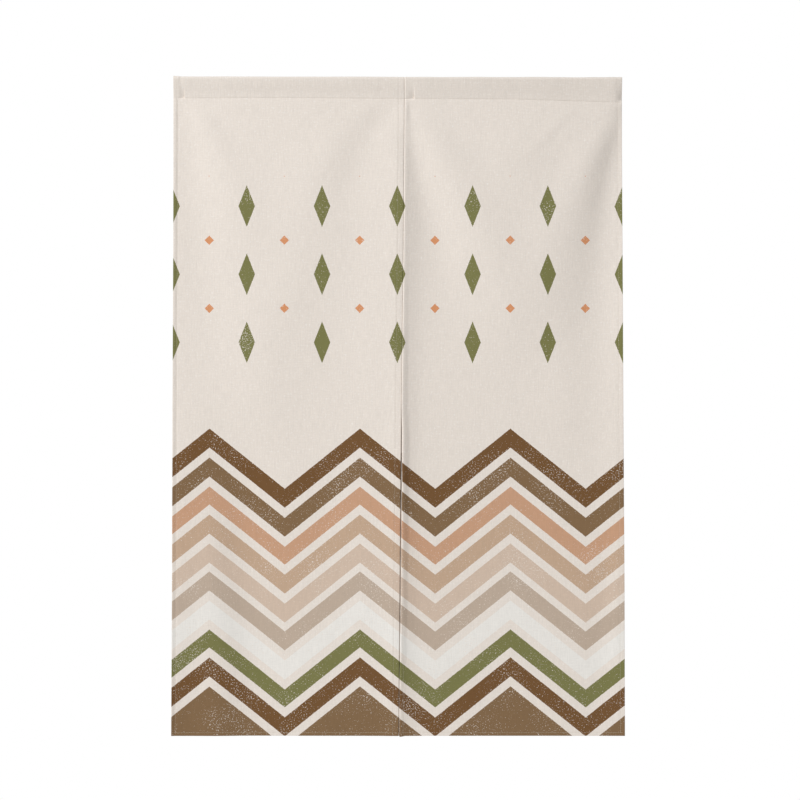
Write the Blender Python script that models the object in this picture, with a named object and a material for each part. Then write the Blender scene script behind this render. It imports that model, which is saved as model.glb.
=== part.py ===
"""A noren: a doorway curtain of two cloth panels, sewn together above and open below.

Sizes are in metres. X runs to the viewer's right, Y away from the viewer and Z up. The origin is the
middle of the top edge, and the cloth hangs below it. A distance called down is measured from there.
"""

import bmesh
import bpy
import numpy as np

DROP = 1.200
CLOTH = 0.0012
HEM_THICKNESS = 0.0020
GAP = 0.0003

SIDE_HEM = 0.0110
BOTTOM_HEM = 0.0075
HEM_STEP = 0.0012

# The top edge sinks by this much from its left end to its right end.
TOP_TILT = 0.0018

# The outline: where the outer edges and the line between the panels are, going down.
OUTLINE = (
    {"down": 0.00, "left": -0.4082, "meeting": 0.0123, "right": 0.4082},
    {"down": 0.30, "left": -0.4086, "meeting": 0.0100, "right": 0.4098},
    {"down": 0.60, "left": -0.4100, "meeting": 0.0064, "right": 0.4108},
    {"down": 0.90, "left": -0.4104, "meeting": 0.0038, "right": 0.4128},
    {"down": 1.20, "left": -0.4121, "meeting": 0.0015, "right": 0.4138},
)

# The inner edge of the right panel. It runs behind the left panel by lap, sewn flat to it as far as
# the slit begins, at 0.60. In the slit it curls back by behind, and comes level with the left panel
# near the hem. The lip is the cloth beside that edge: reach is how far its crest lies from the turn,
# and rise how far it stands forward, or back where the hems are sewn together.
LAP = (
    {"down": 0.00, "lap": 0.0167, "behind": 0.0024, "reach": 0.0030, "rise": -0.0006},
    {"down": 0.30, "lap": 0.0129, "behind": 0.0024, "reach": 0.0030, "rise": -0.0006},
    {"down": 0.59, "lap": 0.0090, "behind": 0.0024, "reach": 0.0034, "rise": -0.0005},
    {"down": 0.66, "lap": 0.0085, "behind": 0.0085, "reach": 0.0062, "rise": 0.0016},
    {"down": 0.94, "lap": 0.0050, "behind": 0.0080, "reach": 0.0058, "rise": 0.0018},
    {"down": 1.04, "lap": 0.0022, "behind": 0.0050, "reach": 0.0046, "rise": 0.0014},
    {"down": 1.09, "lap": -0.0008, "behind": 0.0030, "reach": 0.0042, "rise": 0.0010},
    {"down": 1.14, "lap": -0.0008, "behind": 0.0006, "reach": 0.0040, "rise": 0.0008},
    {"down": 1.20, "lap": -0.0008, "behind": 0.0004, "reach": 0.0040, "rise": 0.0008},
)
# The lip begins to come forward this far past the meeting line, and this far from the cloth's edge.
LIP_START = 0.0005
LEAST_TURN = 0.0011
LIP_TAIL = 0.030

# The main folds. Each runs down from its top to its foot and stands at its full height from full on.
# x is where its middle lies at the top, half way and at the foot, and width half its breadth at the
# top and at the foot. A positive rise stands towards the viewer.
FOLDS = (
    {"name": "left corner ridge", "top": 0.041, "full": 0.085, "foot": 0.380,
     "x": (-0.374, -0.295, -0.240), "width": (0.014, 0.080), "rise": 0.0026},
    {"name": "left corner hollow", "top": 0.041, "full": 0.180, "foot": 0.700,
     "x": (-0.400, -0.355, -0.340), "width": (0.030, 0.055), "rise": -0.0028},
    {"name": "left top swell", "top": 0.050, "full": 0.200, "foot": 0.560,
     "x": (-0.210, -0.210, -0.220), "width": (0.110, 0.120), "rise": 0.0015},
    {"name": "left swag", "top": 0.040, "full": 0.180, "foot": 0.450,
     "x": (-0.070, -0.160, -0.165), "width": (0.050, 0.070), "rise": 0.0024},
    {"name": "left seam hollow", "top": 0.040, "full": 0.090, "foot": 0.280,
     "x": (-0.015, -0.070, -0.100), "width": (0.025, 0.060), "rise": -0.0024},
    {"name": "left seam rise", "top": 0.050, "full": 0.350, "foot": 1.450,
     "x": (-0.020, -0.030, -0.050), "width": (0.040, 0.080), "rise": 0.0040},
    {"name": "left middle ridge", "top": 0.300, "full": 0.430, "foot": 0.800,
     "x": (-0.220, -0.240, -0.280), "width": (0.065, 0.050), "rise": 0.0026},
    {"name": "left foot trough", "top": 0.520, "full": 0.740, "foot": 1.600,
     "x": (-0.290, -0.265, -0.255), "width": (0.060, 0.080), "rise": -0.0040},
    {"name": "left foot ridge", "top": 0.700, "full": 0.850, "foot": 1.600,
     "x": (-0.350, -0.330, -0.350), "width": (0.035, 0.055), "rise": 0.0048},
    {"name": "left edge turn", "top": 0.640, "full": 0.800, "foot": 1.500,
     "x": (-0.400, -0.415, -0.450), "width": (0.040, 0.045), "rise": 0.0045},
    {"name": "left foot hollow", "top": 0.680, "full": 0.800, "foot": 1.250,
     "x": (-0.140, -0.140, -0.100), "width": (0.060, 0.090), "rise": -0.0015},
    {"name": "right seam hollow", "top": 0.050, "full": 0.150, "foot": 0.590,
     "x": (0.000, 0.075, 0.110), "width": (0.020, 0.060), "rise": -0.0036},
    {"name": "right top swell", "top": 0.040, "full": 0.140, "foot": 0.500,
     "x": (0.205, 0.215, 0.220), "width": (0.070, 0.090), "rise": 0.0030},
    {"name": "right swag", "top": 0.040, "full": 0.140, "foot": 0.560,
     "x": (0.030, 0.160, 0.250), "width": (0.030, 0.080), "rise": 0.0040},
    {"name": "right small ridge", "top": 0.050, "full": 0.075, "foot": 0.170,
     "x": (0.322, 0.265, 0.210), "width": (0.014, 0.016), "rise": 0.0006},
    {"name": "right corner ridge", "top": 0.060, "full": 0.160, "foot": 0.560,
     "x": (0.400, 0.285, 0.240), "width": (0.030, 0.075), "rise": 0.0030},
    {"name": "right corner hollow", "top": 0.048, "full": 0.160, "foot": 0.640,
     "x": (0.410, 0.370, 0.355), "width": (0.025, 0.070), "rise": -0.0055},
    {"name": "right corner crease", "top": 0.048, "full": 0.062, "foot": 0.420,
     "x": (0.414, 0.378, 0.362), "width": (0.012, 0.036), "rise": -0.0018},
    {"name": "right edge ridge", "top": 0.220, "full": 0.500, "foot": 1.600,
     "x": (0.440, 0.415, 0.440), "width": (0.035, 0.040), "rise": 0.0040},
    {"name": "right middle hollow", "top": 0.300, "full": 0.480, "foot": 0.620,
     "x": (0.250, 0.270, 0.280), "width": (0.050, 0.050), "rise": -0.0015},
    {"name": "right middle ridge", "top": 0.320, "full": 0.410, "foot": 0.720,
     "x": (0.265, 0.295, 0.310), "width": (0.050, 0.025), "rise": 0.0015},
    {"name": "right foot hollow", "top": 0.780, "full": 0.880, "foot": 1.250,
     "x": (0.395, 0.370, 0.360), "width": (0.015, 0.035), "rise": -0.0010},
)
# A fold sinks over this share of its length, before its foot.
FADE_OUT = 0.50
# The two lapped hems are stiffer than single cloth, so the line between the panels stands forward.
# left and right are the half breadths of that ridge on either side of the line.
SEAM_RIDGE = (
    {"down": 0.045, "rise": 0.0000, "left": 0.020, "right": 0.008},
    {"down": 0.075, "rise": 0.0020, "left": 0.024, "right": 0.010},
    {"down": 0.140, "rise": 0.0028, "left": 0.027, "right": 0.017},
    {"down": 0.260, "rise": 0.0040, "left": 0.027, "right": 0.022},
)

# The heading: the cloth turned over a rod and sewn down. Its section is round at the top and narrows
# to the line of stitches, which runs from stitch_outer at the curtain's edge through stitch_mid to
# stitch_inner where the panels meet.
HEADINGS = {
    "left": {"stitch_outer": 0.0392, "stitch_mid": 0.0384, "stitch_inner": 0.0402},
    "right": {"stitch_outer": 0.0470, "stitch_mid": 0.0410, "stitch_inner": 0.0402},
}
# The radius of each sleeve, from the curtain's edge (0) to the middle (1).
SLEEVE = (
    {"across": 0.00, "left": 0.0066, "right": 0.0078},
    {"across": 0.05, "left": 0.0068, "right": 0.0083},
    {"across": 0.30, "left": 0.0070, "right": 0.0085},
    {"across": 0.62, "left": 0.0067, "right": 0.0081},
    {"across": 0.92, "left": 0.0072, "right": 0.0078},
    {"across": 1.00, "left": 0.0070, "right": 0.0074},
)
SLEEVE_STATIONS = 14
SHARP_FROM_DEG = 40.0
ARC_STEPS = 6
FLANK_STEPS = 4
TAIL_HALF = 0.0010
# The two layers are sewn together over this height, below the hollow.
SEWN = 0.0040
HOLLOW_FOOT_HALF = 0.0003

# Rows of the panels' meshes, as distances down. The first row follows the stitches.
FIRST_ROW = 0.056
ROW_STEP_TOP = 0.014
ROW_STEP_MOST = 0.032
ROW_GROWTH = 1.12
# No row is added once the hem is nearer than this share of a step.
LAST_STEP_SHARE = 1.4
BODY_STEP = 0.0205
HIDDEN_COLUMNS = 3
LIP_COLUMNS = 6
LIP_TAIL_COLUMNS = 5

COLOURS = {"left": "#E8DFD3", "right": "#E1D7CB"}
CLOTH_ROUGHNESS = 0.9


def ease(value):
    """0 below 0, 1 above 1, and a smooth rise between."""
    value = min(max(value, 0.0), 1.0)
    return value * value * (3.0 - 2.0 * value)


def read(table, key, column, at):
    """The column of the table at a given place, going straight from row to row."""
    return float(np.interp(at, [row[key] for row in table], [row[column] for row in table]))


def read_smooth(table, key, column, at):
    """The same with an eased passage from row to row."""
    places = [row[key] for row in table]
    values = [row[column] for row in table]
    if at <= places[0]:
        return values[0]
    for i in range(1, len(places)):
        if at <= places[i]:
            share = ease((at - places[i - 1]) / (places[i] - places[i - 1]))
            return values[i - 1] + share * (values[i] - values[i - 1])
    return values[-1]


def fold_height(fold, x, down):
    """How far one fold brings the cloth forward at a point."""
    t = (down - fold["top"]) / (fold["foot"] - fold["top"])
    if t <= 0.0 or t >= 1.0:
        return 0.0
    top_x, mid_x, foot_x = fold["x"]
    bend = mid_x - 0.5 * (top_x + foot_x)
    middle = top_x + t * (foot_x - top_x) + bend * 4.0 * t * (1.0 - t)
    top_width, foot_width = fold["width"]
    width = top_width + t * (foot_width - top_width)
    grown = ease((down - fold["top"]) / (fold["full"] - fold["top"]))
    return fold["rise"] * grown * ease((1.0 - t) / FADE_OUT) * float(np.exp(-((x - middle) / width) ** 2))


def seam_height(x, down):
    """How far the stiffer cloth along the meeting line stands forward."""
    away = x - read(OUTLINE, "down", "meeting", down)
    width = read(SEAM_RIDGE, "down", "left" if away < 0.0 else "right", down)
    return read(SEAM_RIDGE, "down", "rise", down) * float(np.exp(-((away / width) ** 2)))


def cloth_height(x, down):
    """How far the folds together bring the cloth forward."""
    return seam_height(x, down) + sum(fold_height(fold, x, down) for fold in FOLDS)


def stitch_line(side, x):
    """How far down the heading's stitches lie."""
    heading = HEADINGS[side]
    meeting = OUTLINE[0]["meeting"]
    edge = OUTLINE[0][side]
    places = [heading[name] for name in ("stitch_inner", "stitch_mid", "stitch_outer")]
    return float(np.interp((x - meeting) / (edge - meeting), (0.0, 0.5, 1.0), places))


def front_point(x, down, height):
    """A point on the front of the cloth, brought forward by height."""
    return (x, -0.5 * CLOTH - height, -down)


def row_places():
    """The rows below the stitches, closer together where the folds are small."""
    places = [FIRST_ROW]
    step = ROW_STEP_TOP
    last_plain = DROP - BOTTOM_HEM - HEM_STEP
    while places[-1] + LAST_STEP_SHARE * step < last_plain:
        places.append(places[-1] + step)
        step = min(step * ROW_GROWTH, ROW_STEP_MOST)
    return places + [last_plain, DROP - BOTTOM_HEM, DROP]


def spread(start, end, count):
    """Evenly spaced places after start, up to end."""
    return [start + (end - start) * (i + 1) / count for i in range(count)]


def left_columns(down):
    """Places across the left panel, edge to edge, with a pair at each hem's step."""
    outer = read(OUTLINE, "down", "left", down)
    inner = read(OUTLINE, "down", "meeting", down)
    body_start = outer + SIDE_HEM + HEM_STEP
    body_end = inner - SIDE_HEM - HEM_STEP
    count = round((body_end - body_start) / BODY_STEP)
    return (
        [outer, outer + SIDE_HEM, body_start]
        + spread(body_start, body_end, count)
        + [inner - SIDE_HEM, inner]
    )


def lip(down):
    """The inner edge of the right panel at one height: where it starts, turns and crests."""
    meeting = read(OUTLINE, "down", "meeting", down)
    start = -read_smooth(LAP, "down", "lap", down)
    turn = max(LIP_START, start + LEAST_TURN)
    return {
        "meeting": meeting,
        "start": start,
        "turn": turn,
        "crest": turn + read_smooth(LAP, "down", "reach", down),
        "behind": read_smooth(LAP, "down", "behind", down),
        "rise": read_smooth(LAP, "down", "rise", down),
    }


def lip_height(edge, x):
    """How far the lip brings the right panel forward, or its lapped edge back."""
    along = x - edge["meeting"]
    if along <= edge["crest"]:
        share = ease((along - edge["turn"]) / (edge["crest"] - edge["turn"]))
        return -edge["behind"] + share * (edge["rise"] + edge["behind"])
    return edge["rise"] * (1.0 - ease((along - edge["crest"]) / LIP_TAIL))


def right_columns(down):
    """Places across the right panel, close together round its lip."""
    edge = lip(down)
    outer = read(OUTLINE, "down", "right", down)
    body_end = outer - SIDE_HEM - HEM_STEP
    lip_end = edge["crest"] + LIP_TAIL
    near = (
        [edge["start"]]
        + spread(edge["start"], edge["turn"], HIDDEN_COLUMNS)
        + spread(edge["turn"], edge["crest"], LIP_COLUMNS)
        + spread(edge["crest"], lip_end, LIP_TAIL_COLUMNS)
    )
    near = [edge["meeting"] + along for along in near]
    count = round((OUTLINE[0]["right"] - SIDE_HEM - OUTLINE[0]["meeting"] - LIP_TAIL) / BODY_STEP)
    return near + spread(near[-1], body_end, count) + [outer - SIDE_HEM, outer]


def hem_share(side, x, down):
    """1 on a hem, 0 on single cloth, from the distance to the nearest hemmed edge."""
    outer = read(OUTLINE, "down", side, down)
    inner = read(OUTLINE, "down", "meeting", down)
    if side == "right":
        inner -= read_smooth(LAP, "down", "lap", down)
    from_sides = min(abs(x - outer), abs(x - inner)) - SIDE_HEM
    from_foot = DROP - down - BOTTOM_HEM
    return 1.0 - min(max(min(from_sides, from_foot) / HEM_STEP, 0.0), 1.0)


def cloth_material(name, colour):
    """Undyed cloth: pale, rough and not metallic."""
    channels = [int(colour[i:i + 2], 16) / 255 for i in (1, 3, 5)]
    linear = [c / 12.92 if c <= 0.04045 else ((c + 0.055) / 1.055) ** 2.4 for c in channels]
    material = bpy.data.materials.new(name)
    material.use_nodes = True
    shader = material.node_tree.nodes["Principled BSDF"]
    shader.inputs["Base Color"].default_value = (*linear, 1.0)
    shader.inputs["Roughness"].default_value = CLOTH_ROUGHNESS
    shader.inputs["Metallic"].default_value = 0.0
    return material


def add_object(name, bm, side):
    """Puts a finished bmesh in the scene, shaded smooth, with its material."""
    mesh = bpy.data.meshes.new(name)
    bm.to_mesh(mesh)
    bm.free()
    mesh.shade_smooth()
    mesh.materials.append(cloth_material(name + "_cloth", COLOURS[side]))
    piece = bpy.data.objects.new(name, mesh)
    bpy.context.scene.collection.objects.link(piece)
    return piece


def make_panel(side, columns_at):
    """One panel: a grid laid on the folds, given its thickness behind, more on the hems."""
    stitches = sum(HEADINGS[side].values()) / len(HEADINGS[side])
    rows = [[(x, down) for x in columns_at(down)] for down in reversed(row_places())]
    rows.append([(x, stitch_line(side, x) + GAP) for x in columns_at(stitches)])
    bm = bmesh.new()
    bmesh.ops.create_grid(bm, x_segments=len(rows[0]) - 1, y_segments=len(rows) - 1)
    # The grid's vertices run across, from its lowest row up, which turns its faces to the viewer.
    places = [place for row in rows for place in row]
    for vert, (x, down) in zip(bm.verts, places):
        height = cloth_height(x, down)
        if side == "right":
            height += lip_height(lip(down), x)
        vert.co = front_point(x, down, height)
    shares = [hem_share(side, x, down) for x, down in places]
    panel = add_object(side + "_panel", bm, side)
    hems = panel.vertex_groups.new(name="hems")
    for i, share in enumerate(shares):
        hems.add([i], share, "REPLACE")
    thickness = panel.modifiers.new("thickness", "SOLIDIFY")
    thickness.thickness = HEM_THICKNESS
    thickness.offset = -1.0
    thickness.vertex_group = hems.name
    thickness.thickness_vertex_group = CLOTH / HEM_THICKNESS
    return panel


def teardrop(radius, foot, foot_half):
    """A closed outline, round at the top and narrowing to a flat foot, as (y, down) points.

    The round part has its centre at radius below the top; the flanks leave it where they touch it.
    """
    reach = foot - radius
    lean = np.arcsin((radius - foot_half) / reach)
    touch = (radius * np.cos(lean), radius + radius * np.sin(lean))
    arc = [(radius * np.sin(a), radius - radius * np.cos(a))
           for a in np.linspace(0.0, 0.5 * np.pi + lean, ARC_STEPS + 1)]
    shares = np.linspace(0.0, 1.0, FLANK_STEPS + 1)[1:]
    flank = [(touch[0] + s * (foot_half - touch[0]), touch[1] + s * (foot - touch[1]))
             for s in shares]
    half = arc + flank
    return half + [(-y, down) for y, down in reversed(half[1:])]


def sleeve_section(side, share, x):
    """The heading's wall at one station: its outer outline, then its inner one, as points."""
    radius = read_smooth(SLEEVE, "across", side, share)
    top = TOP_TILT * x / (OUTLINE[0]["right"] - OUTLINE[0]["left"])
    foot = stitch_line(side, x)
    outer = teardrop(radius, foot - top, TAIL_HALF)
    inner = teardrop(radius - CLOTH, foot - top - SEWN - CLOTH, HOLLOW_FOOT_HALF)
    inner = [(y, down + CLOTH) for y, down in inner]
    return [(x, y, -(top + down)) for y, down in outer + inner]


def make_heading(side):
    """One heading: a ring-shaped section drawn out along the rod's line, station by station."""
    start = OUTLINE[0][side]
    end = OUTLINE[0]["meeting"] + (GAP if side == "right" else 0.0)
    shares = np.linspace(0.0, 1.0, SLEEVE_STATIONS + 1)
    stations = [(share, start + share * (end - start)) for share in shares]
    bm = bmesh.new()
    place = bm.verts.layers.int.new("place")
    points = sleeve_section(side, *stations[0])
    verts = [bm.verts.new(point) for point in points]
    count = len(verts) // 2
    for i, vert in enumerate(verts):
        vert[place] = i
    edges = [bm.edges.new((ring[i], ring[(i + 1) % count]))
             for ring in (verts[:count], verts[count:]) for i in range(count)]
    bmesh.ops.bridge_loops(bm, edges=edges)
    for share, x in stations[1:]:
        grown = bmesh.ops.extrude_edge_only(bm, edges=edges)["geom"]
        points = sleeve_section(side, share, x)
        edges = [element for element in grown if isinstance(element, bmesh.types.BMEdge)]
        for element in grown:
            if isinstance(element, bmesh.types.BMVert):
                element.co = points[element[place]]
    bmesh.ops.bridge_loops(bm, edges=edges)
    bmesh.ops.recalc_face_normals(bm, faces=bm.faces)
    heading = add_object(side + "_heading", bm, side)
    heading.data.set_sharp_from_angle(angle=np.radians(SHARP_FROM_DEG))
    return heading


def main():
    for leftover in list(bpy.data.objects):
        bpy.data.objects.remove(leftover)
    make_panel("left", left_columns)
    make_panel("right", right_columns)
    make_heading("left")
    make_heading("right")


main()
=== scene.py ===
# %% [markdown]
# # A noren in printed cotton and linen
#
# A noren is the split curtain of a doorway. Two lengths of cloth are hemmed, sewn together along
# their inner edges down to the middle, and left open below so that people can walk through. The top
# of each length is turned over and sewn down as a sleeve for a rod.
#
# The frame holds plain solids of that curtain: two panels and two headings. This lesson lays two thin
# sheets of cloth over them, gives them their hems, folds, stitches and print, and lights them as in a
# photo studio. Sizes are in metres. X runs to the viewer's right, Y away from the viewer and Z up,
# from the middle of the top edge. A distance called down is measured from there.

import bmesh
import bpy
import numpy as np
from mathutils import Matrix, Vector, noise
from mathutils.bvhtree import BVHTree


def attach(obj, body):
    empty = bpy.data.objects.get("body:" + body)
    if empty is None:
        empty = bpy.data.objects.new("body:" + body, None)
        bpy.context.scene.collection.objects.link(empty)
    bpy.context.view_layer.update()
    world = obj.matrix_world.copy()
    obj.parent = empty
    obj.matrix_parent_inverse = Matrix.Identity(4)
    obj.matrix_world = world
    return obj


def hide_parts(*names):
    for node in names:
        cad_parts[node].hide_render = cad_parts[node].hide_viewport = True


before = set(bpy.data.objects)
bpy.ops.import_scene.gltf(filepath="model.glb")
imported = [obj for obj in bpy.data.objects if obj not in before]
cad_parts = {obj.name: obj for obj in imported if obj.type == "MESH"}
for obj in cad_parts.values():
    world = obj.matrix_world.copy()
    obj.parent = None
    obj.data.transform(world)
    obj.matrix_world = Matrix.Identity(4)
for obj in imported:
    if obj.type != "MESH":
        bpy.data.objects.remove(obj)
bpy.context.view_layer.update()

# %% [markdown]
# ## A few helpers
#
# An object shows only once it is linked to a collection of the scene. A shape is worked on as a
# bmesh, which is then turned into a mesh and freed. Both steps come back often, so each has a
# function. A third turns rows of plain values into a table whose columns have names.

# %% Scene and table helpers
def add_object(name, data):
    """A new object with this data, linked to the scene."""
    made = bpy.data.objects.new(name, data)
    bpy.context.scene.collection.objects.link(made)
    return made


def finished_mesh(bm, name):
    """The mesh made from a bmesh, which is freed."""
    mesh = bpy.data.meshes.new(name)
    bm.to_mesh(mesh)
    bm.free()
    return mesh


def make_table(columns, *lines):
    """A list of rows in which each value goes by the name of its column."""
    return [dict(zip(columns, line)) for line in lines]


# %% [markdown]
# ## Helpers for materials
#
# Blender works with linear light, while colours are usually written as sRGB hex values, so one
# function turns one into the other. A new material has one shader, and a value that is the same all
# over the surface is set on that shader's own socket. What varies is a tree of nodes. One function
# adds a node with its settings and its inputs, which are plain values or links from other nodes.

# %% Colour and material helpers
def linear(colour):
    """An sRGB hex colour as linear red, green, blue and full alpha."""
    channels = [int(colour[i:i + 2], 16) / 255 for i in (1, 3, 5)]
    return (*[c / 12.92 if c <= 0.04045 else ((c + 0.055) / 1.055) ** 2.4 for c in channels], 1.0)


def add_material(name, values):
    """A new material and its shader, with the shader's plain values set."""
    material = bpy.data.materials.new(name)
    material.use_nodes = True
    shader = material.node_tree.nodes["Principled BSDF"]
    for socket, value in values.items():
        shader.inputs[socket].default_value = value
    return material, shader


# The node that does arithmetic is used most, so its kind has a short name.
MATH = "ShaderNodeMath"


def add_node(tree, kind, settings=None, inputs=None):
    """Adds a node; each input takes a plain value, another node's socket, or a node's first output."""
    node = tree.nodes.new(kind)
    for name, value in (settings or {}).items():
        setattr(node, name, value)
    for name, value in (inputs or {}).items():
        source = value.outputs[0] if isinstance(value, bpy.types.Node) else value
        if isinstance(source, bpy.types.NodeSocket):
            tree.links.new(source, node.inputs[name])
        else:
            node.inputs[name].default_value = source
    return node


print("cream cloth in linear light:", [round(c, 3) for c in linear("#E9E0D7")[:3]])

# %% [markdown]
# ## Camera
#
# The photograph looks straight at the curtain from far away, so its edges stay parallel. A long lens
# at 6 m does the same. The frame is square, and 1.457 m of the curtain's plane fits across it.

# %% Camera
SEEN_WIDTH = 1.4568
CAMERA_DISTANCE = 6.0
SENSOR = 36.0
# The middle of the picture, as X and Z on the curtain's plane.
SEEN_MIDDLE = (0.0043, -0.5885)

camera_data = bpy.data.cameras.new("studio_camera")
camera_data.sensor_width = SENSOR
camera_data.lens = SENSOR * CAMERA_DISTANCE / SEEN_WIDTH
camera = add_object("studio_camera", camera_data)
camera.location = (SEEN_MIDDLE[0], -CAMERA_DISTANCE, SEEN_MIDDLE[1])
camera.rotation_euler = (np.radians(90.0), 0.0, 0.0)
bpy.context.scene.camera = camera
print("lens", round(camera_data.lens, 1), "mm at", CAMERA_DISTANCE, "m")

# %% [markdown]
# ## Light and floor
#
# The folds are only a few millimetres deep, so they show through shading alone. A large softbox at
# the upper left is near enough for its light to fall off to the right and downwards, as in the
# photograph, and a white card at the lower right sends a little of it back. A weaker side light
# rakes across the cloth and draws the folds. The sky around the scene fills the shadows. The camera
# itself sees that sky as pure white, as in a cut-out product photo, and the Light Path node tells the
# two uses apart. A light behind keeps the back readable in other views.
# The view transform is Standard, so a colour leaves the render as it was set.

# %% Lights, sky and floor
def add_light(name, kind, source, energy):
    """A light at source, or for a sun one that shines from that direction, aimed at the curtain."""
    data = bpy.data.lights.new(name, kind)
    data.energy = energy
    light = add_object(name, data)
    light.location = source
    light.rotation_mode = "QUATERNION"
    light.rotation_quaternion = (Vector(source) - LIGHT_AIM).to_track_quat("Z", "Y")
    return data


LIGHT_AIM = Vector((0.0, 0.0, -0.6))
softbox = add_light("softbox", "AREA", source=(-2.4, -3.0, 1.7), energy=93.0)
softbox.shape = "DISK"
softbox.size = 1.1
reflector = add_light("reflector_card", "AREA", source=(1.8, -2.2, -1.0), energy=6.0)
reflector.size = 0.9
raking = add_light("raking_side_light", "SUN", source=(-5.0, -3.0, 3.9), energy=1.20)
raking.angle = np.radians(16.0)
behind = add_light("back_light", "SUN", source=(4.0, 5.0, 2.9), energy=1.0)
behind.angle = np.radians(40.0)

# The sky's strength as a light on the curtain, beside pure white for the camera.
SKY_FILL = 0.28
world = bpy.data.worlds.new("studio")
bpy.context.scene.world = world
world.use_nodes = True
sky = world.node_tree
sky.nodes.clear()
fill = add_node(sky, "ShaderNodeBackground", inputs={"Color": (1, 1, 1, 1), "Strength": SKY_FILL})
seen = add_node(sky, "ShaderNodeBackground", inputs={"Color": (1, 1, 1, 1), "Strength": 1.0})
path = add_node(sky, "ShaderNodeLightPath")
sky_mix = add_node(sky, "ShaderNodeMixShader", inputs={0: path.outputs["Is Camera Ray"], 1: fill, 2: seen})
add_node(sky, "ShaderNodeOutputWorld", inputs={"Surface": sky_mix})
bpy.context.scene.view_settings.view_transform = "Standard"

FLOOR_DOWN = 1.95
FLOOR_HALF = 3.0
floor_bm = bmesh.new()
bmesh.ops.create_grid(floor_bm, x_segments=1, y_segments=1, size=FLOOR_HALF)
bmesh.ops.translate(floor_bm, verts=floor_bm.verts, vec=(0.0, 0.0, -FLOOR_DOWN))
floor = add_object("floor", finished_mesh(floor_bm, "floor"))
# Light grey floor paint, matt. The floor lies below the picture and only sends a little light back.
floor_paint, _ = add_material("matt_floor_paint", {"Base Color": linear("#DEDCD8"), "Roughness": 0.9})
floor.data.materials.append(floor_paint)
print("floor", FLOOR_DOWN, "m below the top edge")

# %% [markdown]
# ## The outline and the folds
#
# The sheets follow the same outline and the same main folds as the solids, so the same tables are
# used here. The photograph gives the outline: the sides lean a little, and the line between the
# panels runs from right of the middle at the top to the middle at the foot. Each fold is one row of
# a table: a soft ridge or trough from a top to a foot, at its full height from full on. Its x has
# three places, at the top, half way and at the foot, and its width two, at the top and the foot.

# %% Outline
DROP = 1.200
# Y of the cloth's front where no fold moves it, and how far the top edge falls from left to right.
FRONT = -0.0006
TOP_TILT = 0.0018

OUTLINE = make_table(
    ("down", "left", "meeting", "right"),
    (0.00, -0.4082, 0.0123, 0.4082),
    (0.30, -0.4086, 0.0100, 0.4098),
    (0.60, -0.4100, 0.0064, 0.4108),
    (0.90, -0.4104, 0.0038, 0.4128),
    (1.20, -0.4121, 0.0015, 0.4138),
)


def ease(value):
    """0 below 0, 1 above 1, and a smooth rise between."""
    value = np.clip(value, 0.0, 1.0)
    return value * value * (3.0 - 2.0 * value)


def read(table, key, column, at):
    """The column of the table at a given place, going straight from row to row."""
    return np.interp(at, [row[key] for row in table], [row[column] for row in table])


def read_smooth(table, key, column, at):
    """The same with an eased passage from row to row."""
    places = np.array([row[key] for row in table])
    values = np.array([row[column] for row in table])
    at = np.clip(at, places[0], places[-1])
    i = np.clip(np.searchsorted(places, at, side="right") - 1, 0, len(places) - 2)
    return values[i] + ease((at - places[i]) / (places[i + 1] - places[i])) * (values[i + 1] - values[i])


def outline(name, down):
    """Where an edge or the line between the panels is, at a distance down."""
    return read(OUTLINE, "down", name, down)


print("width at the foot:", round(float(outline("right", DROP) - outline("left", DROP)), 4))

# %% [markdown]
# The folds were read one by one from the shading of the cloth in the photograph. The hems of the
# inner edges are stiffer than single cloth, so the line between the panels stands forward as well.

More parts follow.
